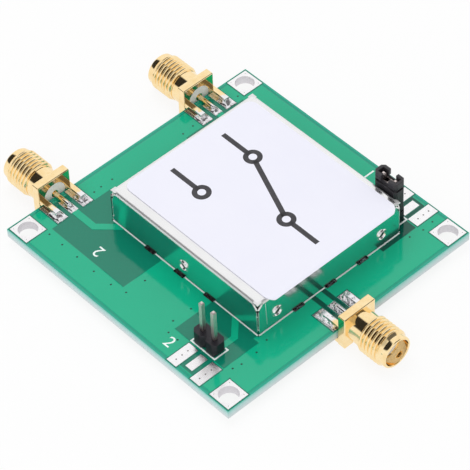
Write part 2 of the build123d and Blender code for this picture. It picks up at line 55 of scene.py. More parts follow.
def boxOf(node):  # lowest and highest corner of a CAD node, in millimetres
    low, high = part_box(node)
    return low / mm, high / mm


boardTop = boxOf("circuit_board")[1].z
copperTop = boxOf("signal_tracks")[1].z
lidLow, lidHigh = boxOf("shield_lid")


# Node helpers that every finish uses
def feed(tree, socket, value):
    if isinstance(value, bpy.types.NodeSocket):
        tree.links.new(value, socket)
    else:
        socket.default_value = value


def feedAll(tree, made, inputs):
    for key, value in inputs.items():
        feed(tree, made.inputs[key], value)


def addNode(tree, kind, inputs=None, **settings):
    made = tree.nodes.new("ShaderNode" + kind)
    for key, value in settings.items():
        setattr(made, key, value)
    feedAll(tree, made, inputs or {})
    return made


def calc(tree, operation, *values):
    made = addNode(tree, "Math", operation=operation)
    for socket, value in zip(made.inputs, values):
        feed(tree, socket, value)
    return made.outputs[0]


def stretched(tree, place, scales):
    return addNode(tree, "VectorMath", {0: place, 1: scales}, operation="MULTIPLY").outputs[0]


def millimetres(tree):  # object coordinates, scaled so that one unit is a millimetre
    place = addNode(tree, "TexCoord").outputs["Object"]
    return stretched(tree, place, (1 / mm, 1 / mm, 1 / mm))


def axes(tree, place):
    return addNode(tree, "SeparateXYZ", {0: place}).outputs


def cloud(tree, place, scale, detail=3.0, rough=0.5):
    inputs = {"Vector": place, "Scale": scale, "Detail": detail, "Roughness": rough}
    return addNode(tree, "TexNoise", inputs).outputs[0]


# Noise keeps mostly within these spans, which remap stretches to a full range
wideSpan, middleSpan, patchSpan = (0.25, 0.75), (0.3, 0.7), (0.35, 0.7)
metalGrain, dullGrain = 0.00001, 0.00002  # depth of fine bumps, in metres


def remap(tree, value, span, newLow=0.0, newHigh=1.0):
    inputs = {"Value": value, "From Min": span[0], "From Max": span[1],
              "To Min": newLow, "To Max": newHigh}
    return addNode(tree, "MapRange", inputs).outputs[0]


def dullPatches(tree, place, scale):
    return remap(tree, cloud(tree, place, scale, 4.0, 0.6), patchSpan)


def fineGrain(tree, place):
    return cloud(tree, place, 9.0, 5.0, 0.6)


def mixColour(tree, factor, first, second):
    made = addNode(tree, "Mix", data_type="RGBA")
    for index, value in ((0, factor), (6, first), (7, second)):
        feed(tree, made.inputs[index], value)
    return made.outputs[2]


def bumped(tree, height, strength, depth):
    inputs = {"Height": height, "Strength": strength, "Distance": depth}
    return addNode(tree, "Bump", inputs).outputs[0]


def startFinish(name):
    made = bpy.data.materials.new(name)
    made.use_nodes = True
    return made, made.node_tree, made.node_tree.nodes["Principled BSDF"]


# Green solder mask: copper pour, bare clearings, a dark line near the edge, painted shade beside
# the lid and the pale cut sides
maskLook = {
    "pour": (0.004, 0.435, 0.243, 1),
    "pourDeep": (0.0, 0.335, 0.185, 1), "pourShade": 0.14,
    "bare": (0.003, 0.205, 0.127, 1),
    "bareWeave": (0.01, 0.25, 0.16, 1), "weaveShade": 0.05,
    "bareLidShade": (0.001, 0.09, 0.06, 1),  # painted shade and dark reflection of the lid, round the input jack and the back header
    "lidShadeX": (7.0, 11.0), "lidShadeY": (-8.0, -4.0),  # where the painted shade on the bare laminate sets in
    "band": (0.002, 0.315, 0.20, 1),
    "rim": (0.01, 0.37, 0.25, 1),
    "sideTop": (0.18, 0.55, 0.47, 1),
    "sideMiddle": (0.44, 0.67, 0.65, 1),
    "sideFoot": (0.66, 0.71, 0.73, 1),
    "sideTurns": [(0.05, 0.5), (0.5, 1.4)],  # depths over which the side turns to middle and foot
    "layerShade": 0.10,
    "clearings": [  # x from, x to, distance from the middle line from, to
        (-20.2, -3.6, 7.8, 20.0),
        (7.9, 17.45, 9.0, 19.95),
        (7.9, 18.6, 12.9, 19.95),
        (13.45, 16.55, 18.0, 24.1),
        (-24.1, -18.0, 13.55, 16.65),
        (10.0, 24.1, -1.0, 1.45),
    ],
    "clearingBlur": 0.06,
    "halfBoard": 25.0,
    "bandFrom": 0.40, "bandTo": 0.68, "bandBlur": 0.08,  # distances from the board's edge
    "rough": (0.07, 0.13), "sideRough": 0.4, "sideInset": 0.01, "ior": 1.5,
    "patch": 0.12, "weave": 1.6, "grain": 5.0, "grainHeight": 0.05,
    "bump": 0.9, "bumpDepth": 0.00003,
}


def outside(tree, value, low, high):  # distance of a value outside a span, negative within it
    below = calc(tree, "SUBTRACT", low, value)
    return calc(tree, "MAXIMUM", below, calc(tree, "SUBTRACT", value, high))


def clearingGap(tree, x, across):  # distance outside the nearest clearing, negative within it
    nearest = None
    for x0, x1, y0, y1 in maskLook["clearings"]:
        gap = calc(tree, "MAXIMUM", outside(tree, x, x0, x1), outside(tree, across, y0, y1))
        nearest = gap if nearest is None else calc(tree, "MINIMUM", nearest, gap)
    return nearest


def cutSide(tree, place, depth):  # laminate layers, paler towards the underside
    inputs = {"Vector": stretched(tree, place, (0.0, 0.0, 1.0)), "Scale": 1.3, "Distortion": 1.5,
              "Detail": 2.0}
    layers = addNode(tree, "TexWave", inputs, bands_direction="Z").outputs[1]
    toMiddle, toFoot = [remap(tree, depth, span) for span in maskLook["sideTurns"]]
    upper = mixColour(tree, toMiddle, maskLook["sideTop"], maskLook["sideMiddle"])
    whole = mixColour(tree, toFoot, upper, maskLook["sideFoot"])
    shade = calc(tree, "MULTIPLY", layers, maskLook["layerShade"])
    return mixColour(tree, shade, whole, maskLook["sideTop"])


def greenMask(name, onBoard):
    look = maskLook
    made, tree, shader = startFinish(name)
    place = millimetres(tree)
    grain = cloud(tree, place, look["grain"], 4.0)
    shade = remap(tree, cloud(tree, place, look["patch"], 2.0), middleSpan, 0.0, look["pourShade"])
    colour = mixColour(tree, shade, look["pour"], look["pourDeep"])
    height = calc(tree, "MULTIPLY", grain, look["grainHeight"])
    rough = remap(tree, grain, middleSpan, *look["rough"])
    if onBoard:
        x, y, z = axes(tree, place)
        across, blur = calc(tree, "ABSOLUTE", y), look["clearingBlur"]
        copper = remap(tree, clearingGap(tree, x, across), (-blur, blur))
        copper = calc(tree, "MAXIMUM", copper, calc(tree, "LESS_THAN", z, boardTop / 2))
        farther = calc(tree, "MAXIMUM", calc(tree, "ABSOLUTE", x), across)
        inset = calc(tree, "SUBTRACT", look["halfBoard"], farther)
        past = remap(tree, inset, (look["bandFrom"] - look["bandBlur"], look["bandFrom"]))
        before = remap(tree, inset, (look["bandTo"], look["bandTo"] + look["bandBlur"]), 1.0, 0.0)
        inBand = calc(tree, "MULTIPLY", past, before)
        weave = addNode(tree, "TexChecker", {"Vector": place, "Scale": look["weave"]}).outputs[1]
        weave = calc(tree, "MULTIPLY", weave, look["weaveShade"])
        # painted shade: the bare laminate darkens beside the lid, where its shade and dark
        # reflection fall
        deep = calc(tree, "MULTIPLY", remap(tree, x, look["lidShadeX"]), remap(tree, y, look["lidShadeY"]))
        bare = mixColour(tree, weave, look["bare"], look["bareWeave"])
        bare = mixColour(tree, deep, bare, look["bareLidShade"])
        colour = mixColour(tree, copper, bare, colour)
        colour = mixColour(tree, inBand, colour, look["band"])
        colour = mixColour(tree, past, look["rim"], colour)
        atSide = calc(tree, "LESS_THAN", inset, look["sideInset"])
        side = cutSide(tree, place, calc(tree, "SUBTRACT", boardTop, z))
        colour = mixColour(tree, atSide, colour, side)
        rough = calc(tree, "ADD", rough, calc(tree, "MULTIPLY", atSide, look["sideRough"]))
        raised = calc(tree, "MULTIPLY", copper, calc(tree, "SUBTRACT", 1.0, inBand))
        height = calc(tree, "ADD", height, raised)
    feedAll(tree, shader, {"Base Color": colour, "Roughness": rough, "IOR": look["ior"],
                           "Normal": bumped(tree, height, look["bump"], look["bumpDepth"])})
    return made


# Bright metals share one recipe: base colour, a duller tone in patches, roughness range, fine bump
sheetTin = {"bright": (0.90, 0.90, 0.90, 1), "dull": (0.84, 0.84, 0.85, 1),
            "rough": (0.15, 0.23), "patch": 0.15, "bump": 0.12, "streaks": (0.2, 0.2, 4)}
metalLooks = {
    "brightSolder": {"bright": (0.99, 0.98, 1.0, 1), "dull": (0.52, 0.49, 0.52, 1),
                     "rough": (0.15, 0.27), "patch": 3.0, "bump": 0.5},
    # painted dark reflection with painted glints: near-black metal in pale patches, for the fence
    # feet and the lid's corner slit
    "paintedShadeAndGlints": {"bright": (0.012, 0.012, 0.015, 1), "dull": (0.50, 0.47, 0.49, 1),
                   "rough": (0.10, 0.22), "patch": 3.0, "bump": 0.5},
    "tinplate": sheetTin,
    "lidTin": {**sheetTin, "foldWidth": 0.52, "foldEdge": (0.8, 1.1), "foldRough": 0.26},
    "cutTin": {"bright": (0.99, 0.99, 0.98, 1), "dull": (0.88, 0.88, 0.87, 1),
               "rough": (0.38, 0.52), "patch": 3.0, "bump": 0.3},
    # painted shade: dark tin for the floors of the lid's dimples
    "shadedTin": {"bright": (0.07, 0.065, 0.07, 1), "dull": (0.16, 0.15, 0.155, 1),
                  "rough": (0.25, 0.4), "patch": 2.0, "bump": 0.3},
    "pinTin": {"bright": (0.86, 0.77, 0.75, 1), "dull": (0.74, 0.64, 0.61, 1),
               "rough": (0.30, 0.44), "patch": 1.2, "bump": 0.3, "streaks": (3, 3, 0.4)},
}


def foldRoughness(tree, place, look):  # the folds round the lid's top are duller than the sheet
    x, y, z = axes(tree, place)
    width = look["foldWidth"]
    span = [width * share for share in look["foldEdge"]]
    inset = calc(tree, "SUBTRACT", x, lidLow.x)
    for gap in ((lidHigh.x, x), (y, lidLow.y), (lidHigh.y, y)):
        inset = calc(tree, "MINIMUM", inset, calc(tree, "SUBTRACT", *gap))
    fold = remap(tree, inset, span, look["foldRough"], 0.0)
    return calc(tree, "MULTIPLY", fold, calc(tree, "GREATER_THAN", z, lidHigh.z - width))


def metalFinish(name, look):
    made, tree, shader = startFinish(name)
    place = millimetres(tree)
    patches = dullPatches(tree, place, look["patch"])
    fine = fineGrain(tree, stretched(tree, place, look.get("streaks", (1, 1, 1))))
    rough = remap(tree, fine, wideSpan, *look["rough"])
    if "foldWidth" in look:
        rough = calc(tree, "ADD", rough, foldRoughness(tree, place, look))
    feedAll(tree, shader, {"Base Color": mixColour(tree, patches, look["bright"], look["dull"]),
                           "Metallic": 1.0, "Roughness": rough,
                           "Normal": bumped(tree, fine, look["bump"], metalGrain)})
    return made


# Tinned copper, with painted shade: grey down the walls of the plated holes
padLook = {
    "tin": (0.98, 0.97, 0.98, 1), "dull": (0.92, 0.90, 0.92, 1), "wall": (0.80, 0.78, 0.81, 1),
    "rough": (0.22, 0.34), "wallRough": 0.25, "wallInset": 0.02, "patch": 1.4, "bump": 0.3,
}


def tinnedCopper(name):
    look = padLook
    made, tree, shader = startFinish(name)
    place = millimetres(tree)
    z = axes(tree, place)[2]
    inHole = calc(tree, "MULTIPLY", calc(tree, "GREATER_THAN", z, look["wallInset"]),
                  calc(tree, "LESS_THAN", z, boardTop - look["wallInset"]))
    patches = dullPatches(tree, place, look["patch"])
    fine = fineGrain(tree, place)
    colour = mixColour(tree, patches, look["tin"], look["dull"])
    rough = remap(tree, fine, wideSpan, *look["rough"])
    rough = calc(tree, "ADD", rough, calc(tree, "MULTIPLY", inHole, look["wallRough"]))
    # painted shade: the hole walls are turned grey
    feedAll(tree, shader, {"Base Color": mixColour(tree, inHole, colour, look["wall"]),
                           "Metallic": 1.0, "Roughness": rough,
                           "Normal": bumped(tree, fine, look["bump"], metalGrain)})
    return made


# Gold plate that turns to bright tin where the legs were soldered
goldLook = {
    "gold": (1.0, 0.80, 0.47, 1),
    "deep": (0.95, 0.70, 0.35, 1),
    "tin": (0.88, 0.87, 0.89, 1),
    "tinFromInput": 23.9,
    "tinFromOutputs": 22.5,
    "tinWaver": 0.5, "tinWaves": 1.6, "tinBlur": 0.25,
    "rough": (0.07, 0.13), "patch": 0.9, "grain": 12.0, "bump": 0.25,
}


def goldPlate(name):
    look = goldLook
    made, tree, shader = startFinish(name)
    place = millimetres(tree)
    x = axes(tree, place)[0]
    waver, blur = look["tinWaver"], look["tinBlur"]
    patches = dullPatches(tree, place, look["patch"])
    fine = cloud(tree, place, look["grain"], 4.0)
    colour = mixColour(tree, patches, look["gold"], look["deep"])
    limit = remap(tree, x, (-1.0, 1.0), look["tinFromOutputs"], look["tinFromInput"])
    ragged = remap(tree, cloud(tree, place, look["tinWaves"]), middleSpan, -waver, waver)
    past = calc(tree, "SUBTRACT", calc(tree, "ADD", calc(tree, "ABSOLUTE", x), ragged), limit)
    wet = remap(tree, past, (-blur, blur), 1.0, 0.0)
    rough = remap(tree, fine, wideSpan, *look["rough"])
    feedAll(tree, shader, {"Base Color": mixColour(tree, wet, colour, look["tin"]),
                           "Metallic": 1.0, "Roughness": rough,
                           "Normal": bumped(tree, fine, look["bump"], metalGrain)})
    return made


# Plastics, paper, ink and ceramic: two tones, roughness range and grain
dullLooks = {
    "darkMoatMask": {"light": (0.004, 0.19, 0.125, 1), "dark": (0.002, 0.15, 0.10, 1),
                     "rough": (0.15, 0.3), "patch": 1.0, "grain": 8.0, "bump": 0.2},
    "labelPaper": {"light": (0.86, 0.86, 0.95, 1), "dark": (0.84, 0.84, 0.94, 1),
                   "rough": (0.55, 0.7), "patch": 0.08, "grain": 6.0, "bump": 0.25},
    "labelInk": {"light": (0.042, 0.040, 0.046, 1), "dark": (0.06, 0.058, 0.064, 1),
                 "rough": (0.5, 0.65), "patch": 1.0, "grain": 8.0, "bump": 0.2},
    "whiteInk": {"light": (0.94, 1.0, 0.985, 1), "dark": (0.89, 0.97, 0.95, 1),
                 "rough": (0.4, 0.6), "patch": 2.0, "grain": 9.0, "bump": 0.3},
    "whitePolymer": {"light": (0.97, 0.96, 0.93, 1), "dark": (0.93, 0.92, 0.88, 1),
                     "rough": (0.3, 0.45), "patch": 0.8, "grain": 6.0, "bump": 0.15},
    "headerNylon": {"light": (0.008, 0.007, 0.012, 1), "dark": (0.012, 0.011, 0.016, 1),
                    "rough": (0.30, 0.46), "patch": 1.0, "grain": 7.0, "bump": 0.35},
    "capNylon": {"light": (0.021, 0.020, 0.024, 1), "dark": (0.030, 0.028, 0.033, 1),
                 "rough": (0.32, 0.5), "patch": 1.0, "grain": 7.0, "bump": 0.35},
    "chipMould": {"light": (0.022, 0.022, 0.024, 1), "dark": (0.034, 0.033, 0.035, 1),
                  "rough": (0.5, 0.7), "patch": 1.5, "grain": 12.0, "bump": 0.5},
    "capCeramic": {"light": (0.42, 0.31, 0.20, 1), "dark": (0.34, 0.24, 0.15, 1),
                   "rough": (0.4, 0.6), "patch": 2.0, "grain": 10.0, "bump": 0.3},
    "viaHoleShade": {"light": (0.004, 0.045, 0.03, 1), "dark": (0.002, 0.025, 0.018, 1),
                "rough": (0.3, 0.5), "patch": 3.0, "grain": 9.0, "bump": 0.3},
    "padViaHoleShade": {"light": (0.16, 0.14, 0.14, 1), "dark": (0.09, 0.08, 0.085, 1),
               "rough": (0.4, 0.6), "patch": 3.0, "grain": 9.0, "bump": 0.3},
}


def dullFinish(name, look):
    made, tree, shader = startFinish(name)
    place = millimetres(tree)
    patches = remap(tree, cloud(tree, place, look["patch"], 3.0, 0.6), middleSpan)
    grain = cloud(tree, place, look["grain"], 5.0, 0.65)
    feedAll(tree, shader, {"Base Color": mixColour(tree, patches, look["light"], look["dark"]),
                           "Roughness": remap(tree, grain, wideSpan, *look["rough"]),
                           "Normal": bumped(tree, grain, look["bump"], dullGrain)})
    return made


finishes = {
    "greenBoardMask": greenMask("greenBoardMask", True),
    "greenTrackMask": greenMask("greenTrackMask", False),
    "tinnedPad": tinnedCopper("tinnedPad"),
    "goldPlate": goldPlate("goldPlate"),
}
for name, look in metalLooks.items():
    finishes[name] = metalFinish(name, look)
for name, look in dullLooks.items():
    finishes[name] = dullFinish(name, look)

# The CAD nodes that stay as they are, with their finishes
nodeFinish = {
    "circuit_board": "greenBoardMask",
    "signal_tracks": "greenTrackMask",
    "mounting_pads": "tinnedPad",
    "jack_pads": "tinnedPad",
    "spare_jack_pads": "tinnedPad",
    "fence_pads": "tinnedPad",
    "shield_fence": "tinplate",
    "lid_label": "labelPaper",
    "jumper_spring": "pinTin",
    "switch_chip_package": "chipMould",
    "switch_chip_leads": "pinTin",
}
for kind in ("blocking", "bypass"):
    nodeFinish[kind + "_capacitor_bodies"] = "capCeramic"
    nodeFinish[kind + "_capacitor_ends"] = "tinnedPad"
for port in ("input", "output1", "output2"):
    nodeFinish[port + "_jack_contact"] = "goldPlate"
    nodeFinish[port + "_jack_insulator"] = "whitePolymer"
for name in ("control1", "control2"):
    nodeFinish[name + "_header_pins"] = "pinTin"
    nodeFinish[name + "_header_pads"] = "tinnedPad"
for nodeName, finish in nodeFinish.items():
    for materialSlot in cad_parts[nodeName].material_slots:
        materialSlot.material = finishes[finish]
print("finishes set on", len(nodeFinish), "CAD nodes")


# Mesh helpers: pieces are drawn in millimetres and scaled once, when they are finished.
# Edges with an angle above sharp, in degrees, stay sharp
def newPiece(name, bm, finish, body, sharp=35, flatFaces=False):
    bmesh.ops.scale(bm, vec=(mm, mm, mm), verts=bm.verts)
    mesh = bpy.data.meshes.new(name)
    bm.to_mesh(mesh)
    bm.free()
    mesh.shade_smooth()
    mesh.set_sharp_from_angle(angle=math.radians(sharp))
    mesh.materials.append(finishes[finish])
    piece = bpy.data.objects.new(name, mesh)
    scene.collection.objects.link(piece)
    if flatFaces:  # large faces keep their own normals beside small roundings
        evened = piece.modifiers.new("flatFaces", "WEIGHTED_NORMAL")
        evened.keep_sharp = True
        evened.weight = 100
    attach(piece, body)
    return piece


def edgesOf(verts):
    return list({edge for vert in verts for edge in vert.link_edges})


def roundEdges(bm, edges, radius):
    bmesh.ops.bevel(bm, geom=edges, offset=radius, offset_type="OFFSET", affect="EDGES",
                    segments=2, profile=0.5, material=-1, clamp_overlap=True)


def addBlock(bm, low, high, rounding=0.0):
    verts = bmesh.ops.create_cube(bm, size=1)["verts"]
    bmesh.ops.scale(bm, vec=[b - a for a, b in zip(low, high)], verts=verts)
    bmesh.ops.translate(bm, vec=[(a + b) / 2 for a, b in zip(low, high)], verts=verts)
    if rounding:
        roundEdges(bm, edgesOf(verts), rounding)
    return verts


def addStroke(bm, start, end, width, low, high):  # flat printed line between two points
    a, b = Vector(start), Vector(end)
    run = b - a
    half = width / 2
    verts = addBlock(bm, (-half, -half, low), (run.length + half, half, high))
    turn = Matrix.Rotation(math.atan2(run.y, run.x), 3, "Z")
    bmesh.ops.rotate(bm, cent=origin, matrix=turn, verts=verts)
    bmesh.ops.translate(bm, vec=(a.x, a.y, 0), verts=verts)


def addFrame(bm, x0, y0, x1, y1, outward, inward, low, high):  # flat ring along a box's sides
    loops = []
    for grow, z in ((outward, low), (outward, high), (-inward, high), (-inward, low)):
        a, b, c, d = x0 - grow, y0 - grow, x1 + grow, y1 + grow
        loops.append([bm.verts.new((x, y, z)) for x, y in ((a, b), (c, b), (c, d), (a, d))])
    for near, far in zip(loops, loops[1:] + loops[:1]):
        for index in range(4):
            bm.faces.new((near[index - 1], near[index], far[index], far[index - 1]))


def spinProfile(bm, points, steps):  # points are (radius, height)
    verts = [bm.verts.new((radius, 0, height)) for radius, height in points]
    edges = [bm.edges.new(pair) for pair in zip(verts, verts[1:])]
    bmesh.ops.spin(bm, geom=verts + edges, cent=origin, axis=upward, angle=2 * math.pi,
                   steps=steps, use_merge=True)


def seal(bm):  # closes seams and poles, and turns all faces outwards
    bmesh.ops.remove_doubles(bm, verts=bm.verts, dist=weld)
    bmesh.ops.recalc_face_normals(bm, faces=bm.faces)


def spun(points, steps):
    made = bmesh.new()
    spinProfile(made, points, steps)
    seal(made)
    return made


def turnTo(bm, direction):  # tips a mesh that stands along Z
    turn = upward.rotation_difference(direction).to_matrix()
    bmesh.ops.rotate(bm, cent=origin, matrix=turn, verts=bm.verts)


def joinInto(bm, other, place):  # adds a finished mesh to another
    bmesh.ops.translate(other, vec=place, verts=other.verts)
    spare = bpy.data.meshes.new("spare")
    other.to_mesh(spare)
    other.free()
    bm.from_mesh(spare)
    bpy.data.meshes.remove(spare)


def freshGrid(bm, cuts):  # points of a new cube from -1 to 1, cut into a grid
    verts = bmesh.ops.create_cube(bm, size=2)["verts"]
    bmesh.ops.subdivide_edges(bm, edges=edgesOf(verts), cuts=cuts, use_grid_fill=True)
    fresh = [vert for vert in bm.verts if not vert.tag]
    for vert in fresh:
        vert.tag = True
    return fresh


def middleOf(edge):
    return (edge.verts[0].co + edge.verts[1].co) / 2


def limited(value):
    return min(1.0, max(0.0, value))


# Edge jacks. Drawn standing on the flange's inner face with the barrel along Z, then laid down
jack = {
    "flange": 6.3, "flangeThick": 1.5, "flangeRound": 0.14,
    "neck": 2.7, "bore": 2.07, "seat": 7.4, "mouth": 2.3, "collar": 2.75, "coneEnd": 8.35,
    "length": 9.3,
    "mouthRound": [(0.0, -0.10), (0.03, -0.03), (0.10, 0.0)],  # from the mouth's radius and the end
    "collarRound": [(-0.24, 0.0), (-0.13, -0.03), (-0.04, -0.12), (0.0, -0.28)],
    "threadFrom": 3.6, "threadTo": 7.8, "root": 2.80, "crest": 3.11, "pitch": 0.7056,
    "ridge": [(2.60, 0.36), (2.78, 0.33), (2.88, 0.26), (3.00, 0.19), (3.08, 0.12),
              (3.11, 0.05)],  # radius, half width
    "shoulder": [(-0.05, 0.16), (-0.02, 0.09), (-0.06, 0.0)],  # from the crest and the thread's end
    "runOut": 0.22, "firstRise": 0.1, "lastDrop": 0.12, "stepsPerTurn": 56,
    "legSide": 1.0, "legLength": 3.8, "legSink": 0.3, "legSpread": 2.55, "legRound": 0.12,
    "upperLeg": 0.1, "lowerLeg": -2.6,
    "edge": 25.2, "axisHeight": 2.05,
    "ports": {"input": (1, 0.0), "output1": (-1, 15.1), "output2": (-1, -15.1)},  # side, offset
    "segments": 64,
}


def layDown(bm, port):
    side, offset = jack["ports"][port]
    turn = Matrix(((0, 0, side), (side, 0, 0), (0, 1, 0)))
    bmesh.ops.rotate(bm, cent=origin, matrix=turn, verts=bm.verts)
    place = (side * jack["edge"], offset, jack["axisHeight"])
    bmesh.ops.translate(bm, vec=place, verts=bm.verts)


def roundLoop(bm, radius, height):
    verts = bmesh.ops.create_circle(bm, cap_ends=False, radius=radius,
                                    segments=jack["segments"])["verts"]
    bmesh.ops.translate(bm, vec=(0, 0, height), verts=verts)
    return edgesOf(verts)


def squareLoop(bm, half, corner, height):  # a circle pushed out to a square with rounded corners
    verts = bmesh.ops.create_circle(bm, cap_ends=False, radius=2 * half,
                                    segments=jack["segments"])["verts"]
    for vert in verts:
        reach = Vector((vert.co.x, vert.co.y))
        core = Vector([max(corner - half, min(half - corner, value)) for value in reach])
        outline = core + (reach - core).normalized() * corner
        vert.co = (outline.x, outline.y, height)
    return edgesOf(verts)


def addFlange(bm):
    half, thick, edge = jack["flange"] / 2, jack["flangeThick"], jack["flangeRound"]
    slope = edge * (1 - math.sqrt(0.5))
    loops = [
        roundLoop(bm, jack["bore"], 0.0),
        squareLoop(bm, half - edge, edge, 0.0),
        squareLoop(bm, half - slope, edge, slope),
        squareLoop(bm, half, edge, edge),
        squareLoop(bm, half, edge, thick - edge),
        squareLoop(bm, half - slope, edge, thick - slope),
        squareLoop(bm, half - edge, edge, thick),
        roundLoop(bm, jack["neck"], thick),
    ]
    for near, far in zip(loops[1:], loops[2:-1]):
        bmesh.ops.bridge_loops(bm, edges=near + far)
    for inner, outer in ((loops[0], loops[1]), (loops[-1], loops[-2])):  # the two flat faces
        bmesh.ops.triangle_fill(bm, edges=inner + outer, use_beauty=True)


def addBarrel(bm):
    end, mouth, collar = jack["length"], jack["mouth"], jack["collar"]
    crest, root, neck = jack["crest"], jack["root"], jack["neck"]
    points = [(jack["bore"], 0.0), (jack["bore"], jack["seat"]), (mouth, jack["seat"])]
    points += [(mouth + out, end + rise) for out, rise in jack["mouthRound"]]
    points += [(collar + out, end + rise) for out, rise in jack["collarRound"]]
    points += [(collar, jack["coneEnd"])]
    points += [(crest + out, jack["threadTo"] + rise) for out, rise in jack["shoulder"]]
    points += [(root, jack["threadTo"] - jack["runOut"]), (root, jack["threadFrom"]),
               (neck, jack["threadFrom"]), (neck, jack["flangeThick"])]
    spinProfile(bm, points, jack["segments"])


def makeJack(port):
    bm = bmesh.new()
    addFlange(bm)
    addBarrel(bm)
    seal(bm)
    half = jack["legSide"] / 2
    for across in (-jack["legSpread"], jack["legSpread"]):
        for up in (jack["upperLeg"], jack["lowerLeg"]):
            addBlock(bm, (across - half, up - half, -jack["legLength"]),
                     (across + half, up + half, jack["legSink"]), jack["legRound"])
    layDown(bm, port)
    body = newPiece(port + "JackBody", bm, "goldPlate", "board", 20)
    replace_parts(body, port + "_jack_body")


def makeThread(port):  # one ridge swept along a helix, from the neck into the shoulder
    bm = bmesh.new()
    ridge = [(radius, -half) for radius, half in jack["ridge"]]
    ridge += [(radius, half) for radius, half in reversed(jack["ridge"])]
    start = jack["threadFrom"] + jack["ridge"][0][1]
    turns = (jack["threadTo"] - start) / jack["pitch"]
    steps = int(turns * jack["stepsPerTurn"])
    section = bm.faces.new([bm.verts.new((radius, 0, start + rise)) for radius, rise in ridge])
    bmesh.ops.spin(bm, geom=[section, *section.edges, *section.verts], cent=origin, axis=upward,
                   dvec=(0, 0, turns * jack["pitch"] / steps), angle=2 * math.pi * turns,
                   steps=steps)
    for vert in bm.verts:
        limit = jack["root"] + jack["firstRise"] + max(vert.co.z - jack["threadFrom"], 0.0)
        if vert.co.z > jack["threadTo"]:
            limit = jack["crest"] - jack["lastDrop"] - (vert.co.z - jack["threadTo"])
        radius = math.hypot(vert.co.x, vert.co.y)
        if radius > limit:
            vert.co.x *= limit / radius
            vert.co.y *= limit / radius
    bmesh.ops.recalc_face_normals(bm, faces=bm.faces)
    layDown(bm, port)
    newPiece(port + "JackThread", bm, "goldPlate", "board", 40)


for port in jack["ports"]:
    makeJack(port)
    makeThread(port)
print("jacks turned")

# Solder beads: subdivided blocks whose tops are drawn up against what they hold
bead = {
    "padTop": -0.4, "padUnder": -2.1, "cuts": 15,
    "leg": {"half": 0.97, "core": 0.46, "rise": 0.72, "end": 4.86,
            "held": jack["legLength"] - 0.15},
    "tail": {"half": 0.66, "core": 0.3, "rise": 0.66, "end": 4.66, "held": 3.4},
    "from": {"input": (0.9, 1.8), "output1": (2.3, 2.3),
             "output2": (2.2, 2.4)},  # where leg and tail solder begin
    "flank": {"input": 1.0, "output1": 2.2, "output2": 2.2},  # above 1 hollow, below 1 swollen
    "endHollow": 0.4, "ramp": 0.7, "film": 0.04, "rim": 0.03,
    "lumps": {"input": 0.8, "output1": 0.35, "output2": 0.35}, "lumpsUnder": 0.3,
    "waves": 2.6, "ripple": 0.10, "rippleLow": -0.3, "rippleFade": 4,
    "seeds": (3.1, 1.3, 0.7),  # steps for port, leg and face
    "tailSeed": 5.3, "seedDepth": 1.7,
}


def addBead(bm, port, shape, across, level, up, start, seed):
    lumps = bead["lumps"][port] if up > 0 else bead["lumpsUnder"]
    flank, waves = bead["flank"][port], bead["waves"]
    half, core, end, held = (shape[key] for key in ("half", "core", "end", "held"))
    for vert in freshGrid(bm, bead["cuts"]):
        u, v, w = vert.co
        run = start + (w + 1) / 2 * (end - start)
        side = max(0.0, (half - abs(u) * half) / (half - core))
        hill = min(side, 1.0) ** flank
        if run > held:
            hill *= ((end - run) / (end - held)) ** (flank + bead["endHollow"])
        hill *= min(1.0, (run - start) / bead["ramp"])
        spot = Vector((u * half * waves + seed, run * waves, seed * bead["seedDepth"]))
        wobble = noise.noise(spot)
        fade = min(1.0, bead["rippleFade"] * (1 - abs(u)))
        top = bead["film"] + shape["rise"] * hill * (1 + lumps * wobble)
        top += bead["ripple"] * max(wobble, bead["rippleLow"]) * fade
        lift = top if v > 0.99 else (v + 1) / 2 * min(top, bead["rim"])
        vert.co = (across + u * half, level + up * lift, -run)


for order, port in enumerate(jack["ports"]):
    bm = bmesh.new()
    legFrom, tailFrom = bead["from"][port]
    perPort, perLeg, perFace = bead["seeds"]
    for index, across in enumerate((-jack["legSpread"], jack["legSpread"])):
        for level, up in ((bead["padTop"], 1), (bead["padUnder"], -1)):
            seed = perPort * order + perLeg * index + perFace * up
            addBead(bm, port, bead["leg"], across, level, up, legFrom, seed)
    addBead(bm, port, bead["tail"], 0.0, bead["padTop"], 1, tailFrom, bead["tailSeed"] + order)
    bmesh.ops.recalc_face_normals(bm, faces=bm.faces)
    layDown(bm, port)
    piece = newPiece(port + "JackSolder", bm, "brightSolder", "board", 60)
    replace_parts(piece, port + "_jack_solder")
print("jack solder laid")

# Fence feet: a small bead on each pad, outside the fence wall, finished near black with pale
# patches as painted dark reflection and painted glints
feet = {
    "x": (-6.35, 0.3, 6.95), "y": (-3.92, 2.73, 9.38), "wallGap": 0.6,
    "half": 1.05, "run": 1.0, "rise": 0.3, "film": 0.02, "slope": 1.2, "endDrop": 0.75,
    "lumps": 0.5, "wavesAlong": 2.6, "wavesOut": 2.0, "cuts": 9,
    "frontStep": 1.1, "seeds": {"back": 7.3, "left": 3.9, "right": 5.7},
}


def addFoot(bm, x, y, outward, seed):
    outward = Vector((*outward, 0))
    along = Vector((-outward.y, outward.x, 0))
    place = Vector((x, y, copperTop))
    for vert in freshGrid(bm, feet["cuts"]):
        u, v, w = vert.co
        out = (w + 1) / 2
        waves = Vector((u * feet["wavesAlong"] + seed, out * feet["wavesOut"], seed))
        hill = feet["rise"] * (1 - out) ** feet["slope"] * (1 - feet["endDrop"] * u ** 4)
        top = feet["film"] + hill * (1 + feet["lumps"] * noise.noise(waves))
        lift = top if v > 0.99 else (v + 1) / 2 * feet["film"]
        flat = place + along * u * feet["half"] + outward * out * feet["run"]
        vert.co = flat + upward * lift


